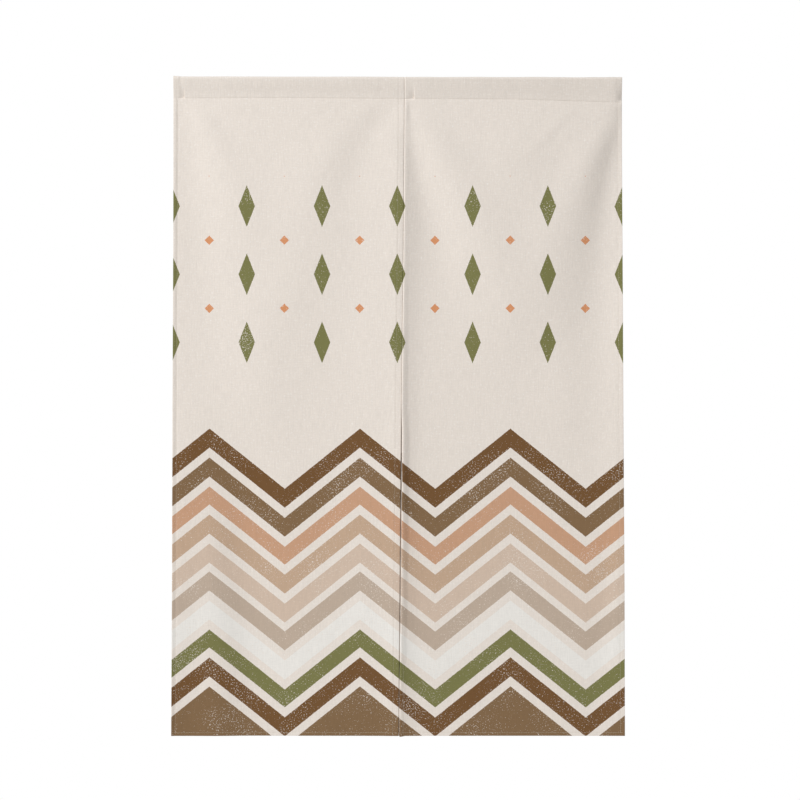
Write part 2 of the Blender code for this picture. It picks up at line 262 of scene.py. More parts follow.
# %% The main folds
FOLDS = make_table(
    ("name", "top", "full", "foot", "x", "width", "rise"),
    ("left corner ridge", 0.041, 0.085, 0.380, (-0.374, -0.295, -0.240), (0.014, 0.080), 0.0026),
    ("left corner hollow", 0.041, 0.180, 0.700, (-0.400, -0.355, -0.340), (0.030, 0.055), -0.0028),
    ("left top swell", 0.050, 0.200, 0.560, (-0.210, -0.210, -0.220), (0.110, 0.120), 0.0015),
    ("left swag", 0.040, 0.180, 0.450, (-0.070, -0.160, -0.165), (0.050, 0.070), 0.0024),
    ("left seam hollow", 0.040, 0.090, 0.280, (-0.015, -0.070, -0.100), (0.025, 0.060), -0.0024),
    ("left seam rise", 0.050, 0.350, 1.450, (-0.020, -0.030, -0.050), (0.040, 0.080), 0.0040),
    ("left middle ridge", 0.300, 0.430, 0.800, (-0.220, -0.240, -0.280), (0.065, 0.050), 0.0026),
    ("left foot trough", 0.520, 0.740, 1.600, (-0.290, -0.265, -0.255), (0.060, 0.080), -0.0040),
    ("left foot ridge", 0.700, 0.850, 1.600, (-0.350, -0.330, -0.350), (0.035, 0.055), 0.0048),
    ("left edge turn", 0.640, 0.800, 1.500, (-0.400, -0.415, -0.450), (0.040, 0.045), 0.0045),
    ("left foot hollow", 0.680, 0.800, 1.250, (-0.140, -0.140, -0.100), (0.060, 0.090), -0.0015),
    ("right seam hollow", 0.050, 0.150, 0.590, (0.000, 0.075, 0.110), (0.020, 0.060), -0.0036),
    ("right top swell", 0.040, 0.140, 0.500, (0.205, 0.215, 0.220), (0.070, 0.090), 0.0030),
    ("right swag", 0.040, 0.140, 0.560, (0.030, 0.160, 0.250), (0.030, 0.080), 0.0040),
    ("right small ridge", 0.050, 0.075, 0.170, (0.322, 0.265, 0.210), (0.014, 0.016), 0.0006),
    ("right corner ridge", 0.060, 0.160, 0.560, (0.400, 0.285, 0.240), (0.030, 0.075), 0.0030),
    ("right corner hollow", 0.048, 0.160, 0.640, (0.410, 0.370, 0.355), (0.025, 0.070), -0.0055),
    ("right corner crease", 0.048, 0.062, 0.420, (0.414, 0.378, 0.362), (0.012, 0.036), -0.0018),
    ("right edge ridge", 0.220, 0.500, 1.600, (0.440, 0.415, 0.440), (0.035, 0.040), 0.0040),
    ("right middle hollow", 0.300, 0.480, 0.620, (0.250, 0.270, 0.280), (0.050, 0.050), -0.0015),
    ("right middle ridge", 0.320, 0.410, 0.720, (0.265, 0.295, 0.310), (0.050, 0.025), 0.0015),
    ("right foot hollow", 0.780, 0.880, 1.250, (0.395, 0.370, 0.360), (0.015, 0.035), -0.0010),
)
# The last share of a fold's length, over which it fades away.
FADE_OUT = 0.50
SEAM_RIDGE = make_table(
    ("down", "rise", "left", "right"),
    (0.045, 0.0000, 0.020, 0.008),
    (0.075, 0.0020, 0.024, 0.010),
    (0.140, 0.0028, 0.027, 0.017),
    (0.260, 0.0040, 0.027, 0.022),
)


def fold_height(fold, x, down):
    """How far one fold brings the cloth forward."""
    t = np.clip((down - fold["top"]) / (fold["foot"] - fold["top"]), 0.0, 1.0)
    top_x, mid_x, foot_x = fold["x"]
    bend = mid_x - 0.5 * (top_x + foot_x)
    middle = top_x + t * (foot_x - top_x) + bend * 4.0 * t * (1.0 - t)
    top_width, foot_width = fold["width"]
    width = top_width + t * (foot_width - top_width)
    grown = ease((down - fold["top"]) / (fold["full"] - fold["top"]))
    return fold["rise"] * grown * ease((1.0 - t) / FADE_OUT) * np.exp(-((x - middle) / width) ** 2)


def one_sided(away, before, after):
    """A distance as a share of the reach on its own side, before the middle or after it."""
    return away / np.where(away < 0.0, before, after)


def main_folds(x, down):
    """All the folds together, with the stiffer line between the panels."""
    rise, left, right = (read(SEAM_RIDGE, "down", name, down) for name in ("rise", "left", "right"))
    ridge = rise * np.exp(-one_sided(x - outline("meeting", down), left, right) ** 2)
    return ridge + sum(fold_height(fold, x, down) for fold in FOLDS)


probe_x, probe_down = np.meshgrid(np.linspace(-0.4, 0.4, 81), np.linspace(0.05, DROP, 116))
probe = main_folds(probe_x, probe_down)
print("folds reach from", np.round(probe.min() * 1000, 1), "to", np.round(probe.max() * 1000, 1), "mm")

# %% [markdown]
# ## The inner edge of the right panel
#
# Both inner edges are hemmed, and the right one runs behind the left one. Above the slit the two are
# sewn flat on each other, so only the thickness of a hem parts them. In the slit the right edge curls
# away from the viewer, which makes the dark line there, and near the foot it comes close again.

# %% The lapped edge
SHEET = 0.00036
HEM_DEPTH = 0.00100
STACK_GAP = 0.00010
SEAM_STEP = HEM_DEPTH + STACK_GAP

LAP = make_table(
    ("down", "lap", "behind", "reach", "rise", "tail"),
    (0.00, 0.0167, SEAM_STEP, 0.0022, 0.0002, 0.010),
    (0.30, 0.0129, SEAM_STEP, 0.0022, 0.0008, 0.010),
    (0.59, 0.0090, SEAM_STEP, 0.0016, 0.0022, 0.012),
    (0.66, 0.0085, 0.0085, 0.0036, 0.0030, 0.014),
    (0.94, 0.0050, 0.0080, 0.0036, 0.0024, 0.013),
    (1.04, 0.0022, 0.0050, 0.0030, 0.0018, 0.012),
    (1.09, 0.0010, 0.0034, 0.0022, 0.0014, 0.012),
    (1.20, 0.0006, 0.0024, 0.0018, 0.0014, 0.012),
)
# The lip turns forward just past the meeting line, and this far from the cloth's own edge at least.
LIP_START = 0.0001
LEAST_TURN = 0.0011


def lip(down):
    """The lapped edge at one height: where it starts, turns forward and crests, past the meeting line."""
    start = -read_smooth(LAP, "down", "lap", down)
    turn = np.maximum(LIP_START, start + LEAST_TURN)
    return start, turn, turn + read_smooth(LAP, "down", "reach", down)


def lip_height(x, down):
    """How far the lip brings the right panel forward, or its lapped edge back."""
    start, turn, crest = lip(down)
    behind, rise, tail = (read_smooth(LAP, "down", name, down) for name in ("behind", "rise", "tail"))
    along = x - outline("meeting", down)
    lapped = -behind + ease((along - turn) / (crest - turn)) * (rise + behind)
    return np.where(along <= crest, lapped, rise * (1.0 - ease((along - crest) / tail)))


print("step at the seam", SEAM_STEP * 1000, "mm, depth of the slit's edge",
      round(float(-lip_height(outline("meeting", 0.8), 0.8)) * 1000, 1), "mm")

# %% [markdown]
# ## The sleeve
#
# Seen from the side, the heading is a drop: round at the top, where a rod would carry it, and
# narrowing to the line of stitches. The front and back of the drop touch the round part and lean
# towards the stitches. The side hems and the seam lie inside the sleeve, so the back stands further
# off where there are more layers of cloth. The bottom hem grows thicker there for the same reason.

# %% Sleeve and layers
HEADINGS = {
    "left": {"stitch_outer": 0.0392, "stitch_mid": 0.0384, "stitch_inner": 0.0402},
    "right": {"stitch_outer": 0.0470, "stitch_mid": 0.0410, "stitch_inner": 0.0402},
}
SLEEVE = make_table(
    ("across", "left", "right"),
    (0.00, 0.0066, 0.0078),
    (0.05, 0.0068, 0.0083),
    (0.30, 0.0070, 0.0085),
    (0.62, 0.0067, 0.0081),
    (0.92, 0.0072, 0.0078),
    (1.00, 0.0070, 0.0074),
)
SIDE_HEM = 0.0110
# Between the panels the sleeve holds three more hems than elsewhere, over this width.
SEAM_LAYERS = 3.0
SEAM_WIDTH = 0.018
LAYERS_FADE = 0.008


def across_heading(side, x):
    """0 at the curtain's edge, 1 where the panels meet."""
    edge, meeting = outline(side, 0.0), outline("meeting", 0.0)
    return np.clip((x - edge) / (meeting - edge), 0.0, 1.0)


def stitch_line(side, x):
    """How far down the heading's stitches lie."""
    heading = HEADINGS[side]
    places = [heading[name] for name in ("stitch_outer", "stitch_mid", "stitch_inner")]
    return np.interp(across_heading(side, x), (0.0, 0.5, 1.0), places)


def near(x, low, high):
    """1 between low and high, easing to 0 outside."""
    return ease(1.0 - (low - x) / LAYERS_FADE) * ease(1.0 - (x - high) / LAYERS_FADE)


def hem_layers(side, x, down):
    """1 where the outer side hem lies."""
    edge = outline(side, down)
    inner = edge + SIDE_HEM * (1.0 if side == "left" else -1.0)
    return near(x, np.minimum(edge, inner), np.maximum(edge, inner))


def stack(side, x, down):
    """How far behind the front of the cloth its turned-over layer lies, at the sleeve's foot."""
    meeting = outline("meeting", down)
    seam = near(x, meeting - SEAM_WIDTH, meeting)
    return HEM_DEPTH + SEAM_STEP * (hem_layers(side, x, down) + SEAM_LAYERS * seam)


def foot_stack(side, x, down):
    """The same at the bottom hem, where each panel has a side hem at both edges."""
    meeting = outline("meeting", down)
    low, high = (meeting - SIDE_HEM, meeting) if side == "left" else (meeting, meeting + SIDE_HEM)
    sides = np.maximum(hem_layers(side, x, down), near(x, low, high))
    return HEM_DEPTH + SEAM_STEP * sides


ends = [round(float(stitch_line(side, x)), 4) for side, x in (("left", -0.4), ("right", 0.4))]
print("the heading's stitches lie", *ends, "m down at its two ends")

# %% [markdown]
# ## Crumples, puckers and pinches
#
# Cloth is never quite smooth. Broad shallow crumples come from noise that is longer down than across.
# Along a row of stitches the thread draws a narrow groove and gathers the cloth into small puckers.
# The ends of the sleeve and the seam are pinched and tucked where many layers meet, and a short
# table holds these marks. Each is under 4 mm deep, yet they are what the eye takes for real sewing.

# %% Small relief
NOISE_SEED = 4.7


def soft_noise(a, b, seed):
    """Smooth noise between -1 and 1 for arrays of places."""
    a, b = np.broadcast_arrays(np.asarray(a, float), np.asarray(b, float))
    values = [noise.noise((p, q, seed + NOISE_SEED)) for p, q in zip(a.ravel(), b.ravel())]
    return np.array(values).reshape(a.shape)


CRUMPLES = make_table(
    ("name", "rise", "across", "along", "seed"),
    ("broad", 0.00040, 0.060, 0.130, 1.0),
    ("fine", 0.00017, 0.024, 0.038, 2.0),
    ("finest", 0.00004, 0.009, 0.013, 8.0),
)


def crumple(kind, x, along):
    """Unevenness of one size."""
    return kind["rise"] * soft_noise(x / kind["across"], along / kind["along"], kind["seed"])


def crumples(x, along):
    """Broad and fine unevenness of hanging cloth."""
    return sum(crumple(kind, x, along) for kind in CRUMPLES)


GROOVE = {"depth": 0.00022, "half": 0.0013}
PUCKER = {"rise": 0.00020, "half": 0.0048, "length": 0.0044, "seed": 3.0}


def stitched(distance, along):
    """The relief beside a row of stitches, by the distance from it and the place along it."""
    groove = -GROOVE["depth"] * np.exp(-(distance / GROOVE["half"]) ** 2)
    gather = soft_noise(along / PUCKER["length"], 0.0, PUCKER["seed"])
    return groove + PUCKER["rise"] * gather * np.exp(-(distance / PUCKER["half"]) ** 2)


# left, right, above and below are how far a mark reaches from its deepest point, at x and down.
# A tuck has a sharp edge, and its low side is drawn a little way under that edge.
PINCHES = make_table(
    ("name", "x", "down", "left", "right", "above", "below", "depth", "under"),
    ("left end, upper line", -0.3960, 0.008, 0.0035, 0.0040, 0.009, 0.009, 0.0006, 0.0),
    ("left end, tuck", -0.3882, 0.0385, 0.0110, 0.00018, 0.0140, 0.0006, 0.0018, 0.0008),
    ("left end, stitches", -0.3882, 0.0385, 0.0040, 0.00018, 0.0045, 0.0006, 0.0010, 0.0),
    ("left of the seam", -0.0320, 0.028, 0.0045, 0.0045, 0.007, 0.007, 0.0006, 0.0),
    ("tuck by the seam", 0.0303, 0.0398, 0.0090, 0.00018, 0.0120, 0.0006, 0.0026, 0.0008),
    ("crease by the seam", 0.0303, 0.0398, 0.0030, 0.00018, 0.0050, 0.0006, 0.0009, 0.0),
    ("stitches over the seam", 0.0150, 0.0408, 0.0080, 0.0080, 0.0016, 0.0006, 0.0005, 0.0),
    ("below the seam's stitches", 0.0226, 0.060, 0.0040, 0.0120, 0.015, 0.015, 0.0009, 0.0),
    ("right end", 0.4100, 0.0420, 0.0080, 0.0080, 0.0200, 0.0040, 0.0036, 0.0),
)


def marked(column, x, down):
    """The sum of a column of the marks, each full at its deepest point and fading away from it."""
    total = np.zeros(np.broadcast(x, down).shape)
    for mark in PINCHES:
        across = one_sided(x - mark["x"], mark["left"], mark["right"])
        along = one_sided(down - mark["down"], mark["above"], mark["below"])
        total = total + mark[column] * np.exp(-across**2 - along**2)
    return total


print(len(PINCHES), "pinches, the deepest", max(m["depth"] for m in PINCHES) * 1000, "mm")

# %% [markdown]
# ## Rows of side stitches
#
# Each panel's side hems are held by a row of stitches that runs from the heading to the foot. On the
# left edge the hem stands forward as a narrow roll, and the step beside it is the dark line that the
# photograph shows all the way down.

# %% Side stitches
SIDE_STITCHES = {
    "left": ({"edge": "left", "in": 0.0072, "sign": 1.0}, {"edge": "meeting", "in": 0.0104, "sign": -1.0}),
    "right": ({"edge": "right", "in": 0.0082, "sign": -1.0}, {"edge": "lap", "in": 0.0088, "sign": 1.0}),
}
EDGE_ROLL = make_table(
    ("down", "strip", "step", "rise"),
    (0.00, 0.0085, 0.0060, 0.0007),
    (0.04, 0.0038, 0.0058, 0.0010),
    (0.30, 0.0024, 0.0060, 0.0010),
    (0.60, 0.0006, 0.0066, 0.0012),
    (1.20, 0.0004, 0.0060, 0.0012),
)
# The roll is thicker in some places than in others, by this share of it.
ROLL_UNEVEN = {"share": 0.35, "length": 0.035, "seed": 5.0}
HEM_RIDGE = {"rise": 0.00030, "half": 0.0016, "in": 0.0122}


def side_stitch_x(row, down):
    """Where a row of side stitches runs."""
    edge = outline("meeting", down) + lip(down)[0] if row["edge"] == "lap" else outline(row["edge"], down)
    return edge + row["sign"] * row["in"]


def edge_relief(side, x, down):
    """Stitches, roll and hem ridge of a panel's sides."""
    total = sum(stitched(x - side_stitch_x(row, down), down + row["in"]) for row in SIDE_STITCHES[side])
    if side == "left":
        inside = x - outline("left", down)
        rise, strip, step = (read(EDGE_ROLL, "down", name, down) for name in ("rise", "strip", "step"))
        swell = soft_noise(down / ROLL_UNEVEN["length"], 0.0, ROLL_UNEVEN["seed"])
        uneven = 1.0 + ROLL_UNEVEN["share"] * swell
        total = total + rise * uneven * (1.0 - ease((inside - strip) / step))
        ridge = (x - outline("meeting", down) + HEM_RIDGE["in"]) / HEM_RIDGE["half"]
        total = total + HEM_RIDGE["rise"] * np.exp(-ridge**2)
    return total


FOOT_STITCHES = 0.0062
# A shallow crease beside the right edge, in the form of a fold. Only the cloth has it, not the solids.
EDGE_CREASE = {"top": 0.060, "full": 0.150, "foot": 0.420,
               "x": (0.414, 0.410, 0.405), "width": (0.014, 0.026), "rise": -0.0018}


def panel_height(side, x, down):
    """How far the front of a panel stands forward at a point, with everything on it."""
    height = main_folds(x, down) + crumples(x, -down) + edge_relief(side, x, down)
    height = height + stitched(down - stitch_line(side, x), x) + stitched(DROP - FOOT_STITCHES - down, x)
    return height - marked("depth", x, down) + fold_height(EDGE_CREASE, x, down)


middle_height = round(float(panel_height("left", -0.2, 0.6)) * 1000, 2)
print("left panel at its middle stands", middle_height, "mm forward")

# %% [markdown]
# ## Across the cut
#
# A length of cloth is laid out as rows and columns. Across, it starts at the raw end of one side hem,
# runs behind the panel to the edge, bends round it, crosses the front, bends round the other edge and
# ends behind. Each column has a place, a depth behind the front and a flat distance along the cloth.
# The flat distance becomes the UV map, so weave and print run on over the folded edges unbroken.

# %% Columns
BEND = HEM_DEPTH / 2
BEND_STEPS = 5
# A hem's raw end is pressed towards the panel by this much, between these two places at its end.
HEM_END_DROP = 0.00024
RAW_END = (0.0002, -0.0003)
HEM_PLACES = (0.0096, 0.0082, 0.0068, 0.0045, 0.0022)
# Columns this far in from an edge. The last ones lie close together for the tuck at the left end.
EDGE_PLACES = (
    0.0016, 0.0030, 0.0042, 0.0052, 0.0062, 0.0072, 0.0082, 0.0092, 0.0104, 0.0120,
    0.0140, 0.0165, 0.0185, 0.0198, 0.0201, 0.0204, 0.0207, 0.0210, 0.0213,
)
# The plain middle of each cloth, and how far apart its columns lie.
BODY_WIDTH = {"left": 0.387, "right": 0.350}
BODY_STEP = 0.0044
LAP_COLUMNS = 9
LIP_COLUMNS = 7
TAIL_COLUMNS = 11
# A tuck has a sharp edge, so a few columns lie close together there, this far from the seam.
TUCK_PLACES = (0.0181, 0.0184, 0.0187, 0.0190, 0.0193, 0.0196)


def hem_turn():
    """From a hem's end to the front of the cloth: distance in from the edge, depth, flat distance."""
    ends = [(SIDE_HEM + RAW_END[0], HEM_DEPTH - HEM_END_DROP), (SIDE_HEM + RAW_END[1], HEM_DEPTH)]
    back = ends + [(place, HEM_DEPTH) for place in HEM_PLACES]
    turned = [(place, depth, BEND * (1.0 - np.pi) - (place - BEND)) for place, depth in back]
    for angle in np.linspace(np.pi, 0.0, BEND_STEPS + 1):
        turned.append((BEND - BEND * np.sin(angle), BEND - BEND * np.cos(angle), BEND * (1.0 - angle)))
    return np.array(turned)


def columns(side, down):
    """Places, depths and flat distances across one row of a cloth."""
    left = outline("left", down) if side == "left" else outline("meeting", down) + float(lip(down)[0])
    right = outline("meeting", down) if side == "left" else outline("right", down)
    turn = hem_turn()
    near_edge = np.array(EDGE_PLACES)
    if side == "left":
        begin = left + near_edge
    else:
        start, turning, crest = (float(v) for v in lip(down))
        meeting = outline("meeting", down)
        begin = meeting + np.concatenate([
            np.linspace(start + BEND, turning, LAP_COLUMNS + 1)[1:],
            np.linspace(turning, crest, LIP_COLUMNS + 1)[1:],
            np.linspace(crest, TUCK_PLACES[0], TAIL_COLUMNS + 1)[1:-1], TUCK_PLACES,
        ])
    end = right - near_edge[::-1]
    body = np.linspace(begin[-1], end[0], round(BODY_WIDTH[side] / BODY_STEP) + 1)[1:-1]
    front = np.concatenate([begin, body, end])
    x = np.concatenate([left + turn[:, 0], front, right - turn[::-1, 0]])
    depth = np.concatenate([turn[:, 1], np.zeros(len(front)), turn[::-1, 1]])
    flat = np.concatenate([left + turn[:, 2], front, right - turn[::-1, 2]])
    return x, depth, flat


print({side: len(columns(side, 0.5)[0]) for side in BODY_WIDTH}, "columns")

# %% [markdown]
# ## Along the cut
#
# Along its length the cloth starts behind the bottom hem, turns under the foot, goes up the front,
# over the rod and down the back of the sleeve to just below the stitches. Each row belongs to one of
# these stages. Rows lie close together at the stitches and bends, and further apart on plain cloth.

# %% Rows
BOTTOM_HEM = 0.0075
HEADING_DOWN = 0.040
SLEEVE_TAIL = 0.0026
PANEL_STEP = 0.0048
TILT_FADE = 0.10
# The front of a sleeve hangs more upright near the stitches and the rod than between them.
FRONT_SAG = {"left": 0.30, "right": 0.15}
# The fold over the rod is flatter than a half circle.
CROWN = 0.45
ARC_ROWS = 17
# Rows of the bottom hem behind and in front, up from the foot, and rows down from the sleeve's stitches.
FOOT_BACK = (0.0062, 0.0048, 0.0026)
FOOT_FRONT = (0.0018, 0.0030, 0.0042, 0.0052, 0.0062, 0.0072, 0.0084, 0.0105, 0.0140)
BELOW_STITCHES = (0.0145, 0.0105, 0.0080, 0.0060, 0.0044, 0.0030, 0.0018, 0.0008, 0.0)
# Rows up the front of the sleeve and down its back, as shares of the way to the rod.
UP_FRONT = (0.025, 0.06, 0.10, 0.15, 0.21, 0.28, 0.35, 0.42, 0.50, 0.58, 0.66, 0.75, 0.84, 0.92)
DOWN_BACK = (0.85, 0.70, 0.55, 0.40, 0.27, 0.16, 0.08, 0.03, 0.0)
TAIL_ROWS = (0.0012, SLEEVE_TAIL - 0.0004, SLEEVE_TAIL)


def heading_mean(side):
    """How far down a heading's stitches lie on the whole."""
    return sum(HEADINGS[side].values()) / len(HEADINGS[side])


def rows(side):
    """The rows of one cloth from its foot up, as stages with a place in each."""
    made = [("foot", up) for up in (BOTTOM_HEM + RAW_END[0], BOTTOM_HEM + RAW_END[1], *FOOT_BACK)]
    made += [("turn", angle) for angle in np.linspace(np.pi, 0.0, BEND_STEPS + 1)]
    top = heading_mean(side)
    low = [DROP - up for up in FOOT_FRONT]
    high = [top + down for down in BELOW_STITCHES]
    middle = np.linspace(low[-1], high[0], round((low[-1] - high[0]) / PANEL_STEP) + 1)[1:-1]
    made += [("panel", down) for down in (*low, *middle, *high)]
    made += [("front", t) for t in UP_FRONT]
    made += [("arc", t) for t in np.linspace(0.0, 1.0, ARC_ROWS)]
    made += [("back", t) for t in DOWN_BACK]
    return made + [("tail", down) for down in TAIL_ROWS]


print({side: len(rows(side)) for side in HEADINGS}, "rows")

# %% [markdown]
# ## From the flat cut to the hanging form
#
# For each row this finds the curve of the outer face in the plane of y and down, and the direction
# that points into the fold. The hem layers go in that direction by their depth, and relief goes the
# other way. So hems stay inside the sleeve and inside the turned foot, as they do on the real one.

# %% Rows laid in space
def sleeve_row(side, x, stage, t):
    """A row of the sleeve: y, down, inward direction (y, down) and flat distance above the stitches."""
    radius = read_smooth(SLEEVE, "across", side, across_heading(side, x))
    crown = CROWN * radius
    top = TOP_TILT * x / (outline("right", 0.0) - outline("left", 0.0))
    foot = stitch_line(side, x)
    reach = foot - top - crown
    back_foot = FRONT + stack(side, x, HEADING_DOWN)
    front_length = np.hypot(reach, radius + FRONT)
    back_length = np.hypot(reach, radius - back_foot)
    over = np.pi * (radius + crown) / 2
    if stage == "arc":
        angle = np.pi * (0.5 - t)
        steep = np.hypot(crown * np.sin(angle), radius * np.cos(angle))
        return (-radius * np.sin(angle), top + crown - crown * np.cos(angle),
                crown * np.sin(angle) / steep, radius * np.cos(angle) / steep, front_length + t * over)
    if stage == "front":
        lean_share = t - FRONT_SAG[side] * np.sin(2.0 * np.pi * t) / (2.0 * np.pi)
        return (FRONT - lean_share * (radius + FRONT), foot - t * reach,
                reach / front_length, -(radius + FRONT) / front_length, t * front_length)
    if stage == "back":
        return (back_foot + t * (radius - back_foot), foot - t * reach, -reach / back_length,
                (back_foot - radius) / back_length, front_length + over + (1.0 - t) * back_length)
    return back_foot, foot + t, -np.ones_like(x), np.zeros_like(x), front_length + over + back_length + t


# The pressed crease along the top edge stands forward a little.
CREASE = {"down": 0.0028, "half": 0.0020, "left": 0.00006, "right": 0.00045}
# The sleeve is a little more uneven than the panels, except close to its stitches.
SLEEVE_CRUMPLE = {"rise": 0.00030, "across": 0.034, "along": 0.030, "seed": 6.0}
CRUMPLE_FADE = 0.012


def sleeve_relief(side, x, stage, down, flat):
    """Relief of the sleeve along its outward direction."""
    foot = stitch_line(side, x)
    height = crumples(x, flat - foot) + crumple(SLEEVE_CRUMPLE, x, flat) * ease(flat / CRUMPLE_FADE)
    if stage in ("front", "arc"):
        height = height + stitched(flat, x) + edge_relief(side, x, 0.0)
        height = height + CREASE[side] * np.exp(-((down - CREASE["down"]) / CREASE["half"]) ** 2)
        return height - marked("depth", x, down)
    # The layer behind is pressed back with the front.
    return height + marked("depth", x, down)


def lay_row(side, stage, at):
    """Points of one row in space and their flat places."""
    level = {"panel": at, "foot": DROP, "turn": DROP}.get(stage, HEADING_DOWN)
    x, depth, flat_x = columns(side, level)
    if side == "right":
        depth = depth - lip_height(x, np.full_like(x, min(level, DROP)))
    if stage in ("front", "arc", "back", "tail"):
        y, down, in_y, in_down, flat = sleeve_row(side, x, stage, at)
        inward = depth - sleeve_relief(side, x, stage, down, flat)
        x_moved = x + marked("under", x, down)
        y, down = y + in_y * inward, down + in_down * inward
        return np.stack([x_moved, y, -down], 1), np.stack([flat_x, flat - stitch_line(side, x)], 1)
    gap = foot_stack(side, x, DROP)
    if stage == "panel":
        top = heading_mean(side)
        down = at + (stitch_line(side, x) - top) * (1.0 - ease((at - top) / TILT_FADE))
        y = FRONT - panel_height(side, x, down) + depth
        return np.stack([x + marked("under", x, down), y, -down], 1), np.stack([flat_x, -down], 1)
    bend = gap / 2
    if stage == "turn":
        down = DROP - bend + np.sin(at) * (bend - depth)
        y = FRONT - panel_height(side, x, DROP - bend) + bend - np.cos(at) * (bend - depth)
        flat = -(DROP - bend) - bend * at
    else:
        down = np.full_like(x, DROP - at)
        sunk = HEM_END_DROP if at > BOTTOM_HEM else 0.0
        y = FRONT - panel_height(side, x, down) + gap - sunk - depth
        flat = -(DROP - bend) - bend * np.pi - (at - bend)
    return np.stack([x, y, -down], 1), np.stack([flat_x, flat], 1)


spot, _ = lay_row("left", "arc", 0.5)
print("top of the left sleeve at z", round(float(spot[:, 2].max()), 4), "m")

# %% [markdown]
# ## Sewing the sheet
#
# A grid has exactly the faces that a woven sheet needs, so create_grid makes one, and each of its
# points moves to its place on the form. The UV map holds the flat cut in metres. Solidify then gives
# the sheet its thickness on the wrong side, with a second material there. A cloth simulation could
# drape such a sheet, but here the folds are known from the photograph, so they are given in tables.

# %% Lay the cloths
def lay_cloth(side):
    """One length of cloth, folded, hemmed and hung."""
    laid = [lay_row(side, stage, at) for stage, at in rows(side)]
    points = np.concatenate([points for points, _ in laid])
    flats = np.concatenate([flats for _, flats in laid])
    bm = bmesh.new()
    bmesh.ops.create_grid(bm, x_segments=len(laid[0][0]) - 1, y_segments=len(laid) - 1)
    for vert, point in zip(bm.verts, points):
        vert.co = point
    bm.verts.index_update()
    cut = bm.loops.layers.uv.new("cut")
    for face in bm.faces:
        for loop in face.loops:
            loop[cut].uv = flats[loop.vert.index]
    mesh = finished_mesh(bm, side + "_cloth")
    mesh.shade_smooth()
    cloth = add_object(side + "_cloth", mesh)
    thickness = cloth.modifiers.new("thickness", "SOLIDIFY")
    thickness.thickness = SHEET
    thickness.offset = -1.0
    thickness.material_offset = 1
    size = flats.max(axis=0) - flats.min(axis=0)
    print(cloth.name, len(mesh.polygons), "faces, flat", np.round(size, 4), "m")
    return cloth, size


cloths = {}
flat_sizes = {}
for side in HEADINGS:
    cloths[side], flat_sizes[side] = lay_cloth(side)

# %% [markdown]
# ## Woven cloth
#
# The cloth is a plain weave of unbleached cotton and linen. Its yarns are spun unevenly, so thicker
# stretches, called slubs, show as short streaks, most of them along the warp, and tufts of paler
# fibre show as flecks. Real yarns lie about 0.7 mm apart, too fine for this picture, so the weave is
# drawn at 1.3 mm and the slubs at 2 mm and more. The surface is matt, with the faint sheen of fibres.

# %% Weave nodes
WEAVE_PITCH = 0.0013
CREAM = "#E9E0D7"
PALE_FIBRE = "#F3EEE9"
# The size of each kind of mark across and along the cloth, and where its noise starts.
YARN_MARKS = make_table(
    ("name", "across", "along", "start"),
    ("warp slubs", 0.0022, 0.0240, (0, 0, 0)),
    ("weft slubs", 0.0130, 0.0022, (40, 90, 3)),
    ("flecks", 0.0030, 0.0042, (7, 3, 1)),
)
# How far the yarns stand out beside the slubs.
YARN_RELIEF = 0.25


def weave_nodes(tree):
    """Nodes for the yarns: the flat place, one noise for each kind of mark, and the relief."""
    flat = add_node(tree, "ShaderNodeUVMap", {"uv_map": "cut"})
    marks = []
    for mark in YARN_MARKS:
        place = add_node(tree, "ShaderNodeMapping", inputs={
            "Vector": flat, "Location": mark["start"], "Scale": (1 / mark["across"], 1 / mark["along"], 1)})
        marks.append(add_node(tree, "ShaderNodeTexNoise", inputs={
            "Vector": place, "Scale": 1.0, "Detail": 2.0, "Roughness": 0.6}))
    yarns = add_node(tree, "ShaderNodeVectorMath", {"operation": "SCALE"},
                     {0: flat, "Scale": np.pi / WEAVE_PITCH})
    axes = add_node(tree, "ShaderNodeSeparateXYZ", inputs={0: yarns})
    across = add_node(tree, MATH, {"operation": "SINE"}, {0: axes.outputs["X"]})
    along = add_node(tree, MATH, {"operation": "SINE"}, {0: axes.outputs["Y"]})
    weave = add_node(tree, MATH, {"operation": "MULTIPLY"}, {0: across, 1: along})
    slubs = add_node(tree, MATH, {"operation": "ADD"}, {0: marks[0], 1: marks[1]})
    relief = add_node(tree, MATH, {"operation": "MULTIPLY_ADD"}, {0: weave, 1: YARN_RELIEF, 2: slubs})
    return flat, marks, relief


print("weave drawn at", WEAVE_PITCH * 1000, "mm, with", ", ".join(mark["name"] for mark in YARN_MARKS))

# %% [markdown]
# ## The print
#
# The lower part carries zigzag bands, the mountain path of traditional cloths, in earth colours with
# bare cloth between them. The lowest band runs on to the foot. Above them stand staggered rows of
# lozenges. The distance below the first zigzag picks a colour from a ramp with hard steps, and the
# ramp's alpha tells print from bare cloth. A lozenge is where the shares of its half width and half
# height add up to less than one.

# %% Print nodes
BAND_PITCH = 0.0520
BAND_WIDTH = 0.0340
ZIGZAG_PERIOD = 0.2740
ZIGZAG_SLOPE = 0.80
ZIGZAG_SHIFT = 0.0680
ZIGZAG_TOP = 0.640
BANDS = (
    "#735230", "#83684A", "#C99E80", "#C4A88F", "#D2BDAB",
    "#BFAD9C", "#EDEAE5", "#7B7A4B", "#735230", "#83684A",
)
LOZENGES = make_table(
    ("colour", "half", "tall", "x", "down"),
    ("#7B7A4B", 0.0150, 0.0380, 0.0, 0.235),
    ("#D9966A", 0.0085, 0.0085, 0.0685, 0.297),
)
LOZENGE_PITCH = 0.1370
LOZENGE_DROP = 0.1240
LOZENGE_TOP = 0.180
LOZENGE_FOOT = 0.530


